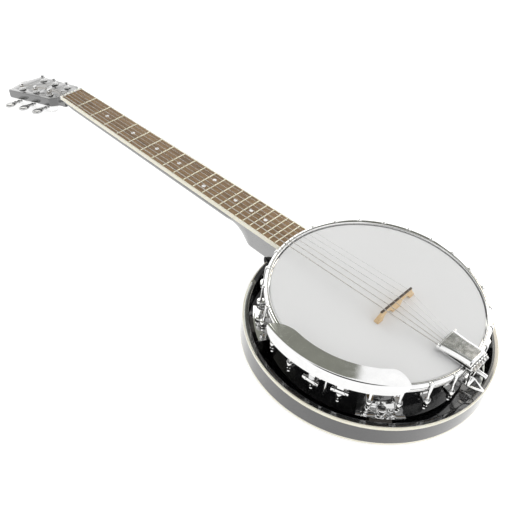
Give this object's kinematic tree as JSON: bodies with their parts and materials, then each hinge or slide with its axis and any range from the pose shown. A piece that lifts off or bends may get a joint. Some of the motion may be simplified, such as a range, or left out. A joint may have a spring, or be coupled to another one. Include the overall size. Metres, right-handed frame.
{
  "type": "banjo",
  "caption": "Banjo with a resonator, guitar-style neck and headstock with geared tuners, hooked drum head, armrest, loose bridge and hinged tailpiece cover.",
  "frame": {"origin": "centre of the resonator's flat back, which it lies on", "axes": "+Y along the neck towards the headstock, +X towards the treble side, +Z out through the drum head"},
  "size_m": [0.34, 0.9379, 0.1018],
  "materials": {
    "black_wood": "gloss",
    "raw_wood": "matte",
    "ivory": "gloss",
    "pearl": "gloss",
    "chrome": "polished",
    "cover_metal": "satin",
    "steel": "satin",
    "fret_metal": "polished",
    "bronze": "cast",
    "head_film": "frosted",
    "fretboard_wood": "satin",
    "maple": "satin",
    "ebony": "satin",
    "black_plastic": "gloss",
    "wound_string": "polished",
    "plain_string": "polished"
  },
  "bodies": {
    "banjo": {"resonator_wall": "black_wood", "resonator_back": "black_wood", "resonator_top_binding": "ivory", "resonator_bottom_binding": "ivory", "resonator_lugs": "raw_wood", "resonator_plates": "chrome", "thumb_screws": "chrome", "plate_bolts": "chrome", "rim": "black_wood", "tone_ring": "bronze", "drum_head": "head_film", "flesh_hoop": "chrome", "tension_hoop": "chrome", "hooks": "chrome", "hook_nuts": "chrome", "bracket_shoes": "chrome", "shoe_screws": "chrome", "coordinator_rods": "steel", "rod_bolts": "steel", "neck_bolts": "steel", "neck": "black_wood", "heel_cap": "black_wood", "headstock_veneer": "black_wood", "fingerboard": "fretboard_wood", "fingerboard_binding": "ivory", "frets": "fret_metal", "inlay_dots": "pearl", "nut": "ivory", "truss_rod": "steel", "truss_rod_cover": "black_plastic", "cover_screws": "chrome", "tuner_housings": "chrome", "tuner_lids": "chrome", "tuner_bushings": "chrome", "tuner_screws": "chrome", "tailpiece_base": "chrome", "tailpiece_pin": "chrome", "tailpiece_hanger": "chrome", "tailpiece_screw": "chrome", "armrest": "chrome", "armrest_clamps": "chrome", "bridge": "maple", "bridge_top": "ebony", "wound_strings": "wound_string", "plain_strings": "plain_string"},
    "key_1": {"tuner_key_1": "chrome"},
    "post_1": {"string_post_1": "chrome"},
    "key_2": {"tuner_key_2": "chrome"},
    "post_2": {"string_post_2": "chrome"},
    "key_3": {"tuner_key_3": "chrome"},
    "post_3": {"string_post_3": "chrome"},
    "key_4": {"tuner_key_4": "chrome"},
    "post_4": {"string_post_4": "chrome"},
    "key_5": {"tuner_key_5": "chrome"},
    "post_5": {"string_post_5": "chrome"},
    "key_6": {"tuner_key_6": "chrome"},
    "post_6": {"string_post_6": "chrome"},
    "cover": {"tailpiece_cover": "cover_metal"}
  },
  "joints": [
    {"name": "key_1_turn", "type": "hinge", "parent": "banjo", "child": "key_1", "pos_m": [-0.018, 0.66051, 0.03367], "axis": [1, 0, 0], "continuous": true},
    {"name": "post_1_turn", "type": "hinge", "parent": "banjo", "child": "post_1", "pos_m": [-0.018, 0.65829, 0.05603], "axis": [0, 0.3173, 0.9483], "continuous": true},
    {"name": "key_2_turn", "type": "hinge", "parent": "banjo", "child": "key_2", "pos_m": [-0.0192, 0.69655, 0.02161], "axis": [1, 0, 0], "continuous": true},
    {"name": "post_2_turn", "type": "hinge", "parent": "banjo", "child": "post_2", "pos_m": [-0.0192, 0.69433, 0.04397], "axis": [0, 0.3173, 0.9483], "continuous": true},
    {"name": "key_3_turn", "type": "hinge", "parent": "banjo", "child": "key_3", "pos_m": [-0.0216, 0.73211, 0.00971], "axis": [1, 0, 0], "continuous": true},
    {"name": "post_3_turn", "type": "hinge", "parent": "banjo", "child": "post_3", "pos_m": [-0.0216, 0.72989, 0.03207], "axis": [0, 0.3173, 0.9483], "continuous": true},
    {"name": "key_4_turn", "type": "hinge", "parent": "banjo", "child": "key_4", "pos_m": [0.018, 0.66051, 0.03367], "axis": [1, 0, 0], "continuous": true},
    {"name": "post_4_turn", "type": "hinge", "parent": "banjo", "child": "post_4", "pos_m": [0.018, 0.65829, 0.05603], "axis": [0, 0.3173, 0.9483], "continuous": true},
    {"name": "key_5_turn", "type": "hinge", "parent": "banjo", "child": "key_5", "pos_m": [0.0192, 0.69655, 0.02161], "axis": [1, 0, 0], "continuous": true},
    {"name": "post_5_turn", "type": "hinge", "parent": "banjo", "child": "post_5", "pos_m": [0.0192, 0.69433, 0.04397], "axis": [0, 0.3173, 0.9483], "continuous": true},
    {"name": "key_6_turn", "type": "hinge", "parent": "banjo", "child": "key_6", "pos_m": [0.0216, 0.73211, 0.00971], "axis": [1, 0, 0], "continuous": true},
    {"name": "post_6_turn", "type": "hinge", "parent": "banjo", "child": "post_6", "pos_m": [0.0216, 0.72989, 0.03207], "axis": [0, 0.3173, 0.9483], "continuous": true},
    {"name": "cover_hinge", "type": "hinge", "parent": "banjo", "child": "cover", "pos_m": [0, -0.104, 0.093], "axis": [-1, 0, 0], "range_deg": [0, 92]}
  ],
  "couplings": [
    {"joint": "post_1_turn", "follows": "key_1_turn", "ratio": -0.071429},
    {"joint": "post_2_turn", "follows": "key_2_turn", "ratio": -0.071429},
    {"joint": "post_3_turn", "follows": "key_3_turn", "ratio": -0.071429},
    {"joint": "post_4_turn", "follows": "key_4_turn", "ratio": 0.071429},
    {"joint": "post_5_turn", "follows": "key_5_turn", "ratio": 0.071429},
    {"joint": "post_6_turn", "follows": "key_6_turn", "ratio": 0.071429}
  ]
}
